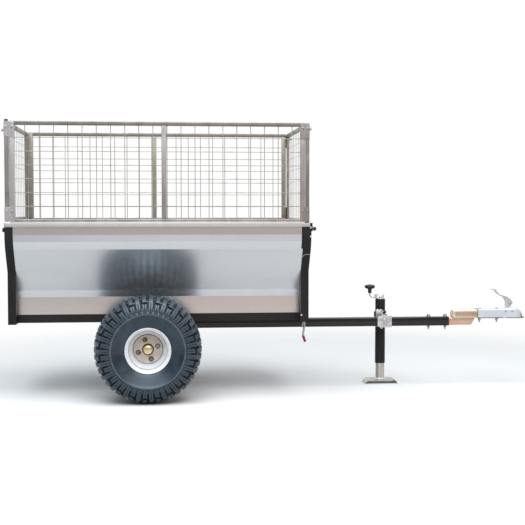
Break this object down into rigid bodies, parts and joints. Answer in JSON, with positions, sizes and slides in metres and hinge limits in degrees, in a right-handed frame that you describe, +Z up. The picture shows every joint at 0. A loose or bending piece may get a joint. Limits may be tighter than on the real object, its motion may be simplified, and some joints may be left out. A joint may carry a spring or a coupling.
{
  "type": "single-axle tipping utility trailer with mesh cage",
  "caption": "Small off-road tipping trailer: folded metal tub under a wire mesh cage, knobbly tyres, square drawbar, ball coupling and swivel jack.",
  "frame": {"origin": "on the ground, under the centre of the trailer's outline seen from above", "axes": "+X forward to the coupling, +Y left, +Z up"},
  "size_m": [2.88, 1.125, 1.456],
  "materials": {
    "black_paint": "black powder coat",
    "galvanised_sheet": "bright galvanised sheet",
    "galvanised_steel": "galvanised tube and wire",
    "zinc_steel": "bright zinc plate",
    "gold_zinc": "yellow passivated zinc",
    "silver_paint": "silver paint",
    "tyre_rubber": "new tyre rubber",
    "black_plastic": "moulded plastic",
    "red_grip": "dipped red plastic",
    "rubber_pad": "buffer rubber"
  },
  "bodies": {
    "chassis": {"drawbar": "black_paint", "axle_beam": "black_paint", "axle_saddle": "black_paint", "pivot_bracket_left": "black_paint", "pivot_bracket_right": "black_paint", "rest_pad": "rubber_pad", "tilt_latch": "zinc_steel", "latch_grip": "red_grip", "adaptor_tube": "gold_zinc", "adaptor_sleeve": "gold_zinc", "coupling_body": "zinc_steel", "coupling_lever": "zinc_steel", "jack_plate_near": "galvanised_steel", "jack_mount": "galvanised_steel"},
    "tub": {"tub_floor": "galvanised_sheet", "side_panel_left": "galvanised_sheet", "side_panel_right": "galvanised_sheet", "bottom_rail_left": "black_paint", "bottom_rail_right": "black_paint", "front_board": "black_paint", "rear_frame": "black_paint", "cross_members": "black_paint", "pivot_crossmember": "black_paint", "pivot_lugs": "black_paint", "cage_side_left": "galvanised_steel", "cage_side_right": "galvanised_steel", "cage_front": "galvanised_steel", "gate_hinge_pin": "zinc_steel"},
    "rear_tailgate": {"tailgate": "black_paint"},
    "rear_cage_gate": {"cage_gate": "galvanised_steel"},
    "wheel_left": {"tyre_left": "tyre_rubber", "rim_left": "silver_paint", "hub_left": "zinc_steel"},
    "wheel_right": {"tyre_right": "tyre_rubber", "rim_right": "silver_paint", "hub_right": "zinc_steel"},
    "swivel_jack": {"jack_tube": "black_paint", "jack_collar": "black_paint", "jack_crank": "zinc_steel", "crank_knob": "black_plastic"},
    "jack_slide": {"jack_leg": "zinc_steel", "jack_foot": "zinc_steel"}
  },
  "joints": [
    {"name": "wheel_left_spin", "type": "hinge", "parent": "chassis", "child": "wheel_left", "pos_m": [-0.703, 0.425, 0.278], "axis": [0, 1, 0], "continuous": true},
    {"name": "wheel_right_spin", "type": "hinge", "parent": "chassis", "child": "wheel_right", "pos_m": [-0.703, -0.425, 0.278], "axis": [0, 1, 0], "continuous": true},
    {"name": "tub_tilt", "type": "hinge", "parent": "chassis", "child": "tub", "pos_m": [-0.703, 0, 0.368], "axis": [0, -1, 0], "range_deg": [0, 30]},
    {"name": "tailgate_drop", "type": "hinge", "parent": "tub", "child": "rear_tailgate", "pos_m": [-1.421, 0, 0.453], "axis": [0, 1, 0], "range_deg": [-90, 0]},
    {"name": "cage_gate_swing", "type": "hinge", "parent": "tub", "child": "rear_cage_gate", "pos_m": [-1.4135, 0.43, 1.19], "axis": [0, 0, -1], "range_deg": [0, 180]},
    {"name": "jack_swivel", "type": "hinge", "parent": "chassis", "child": "swivel_jack", "pos_m": [0.622, 0.06, 0.363], "axis": [0, 1, 0], "range_deg": [0, 90]},
    {"name": "jack_leg_slide", "type": "slide", "parent": "swivel_jack", "child": "jack_slide", "axis": [0, 0, 1], "range_m": [0, 0.08]}
  ]
}
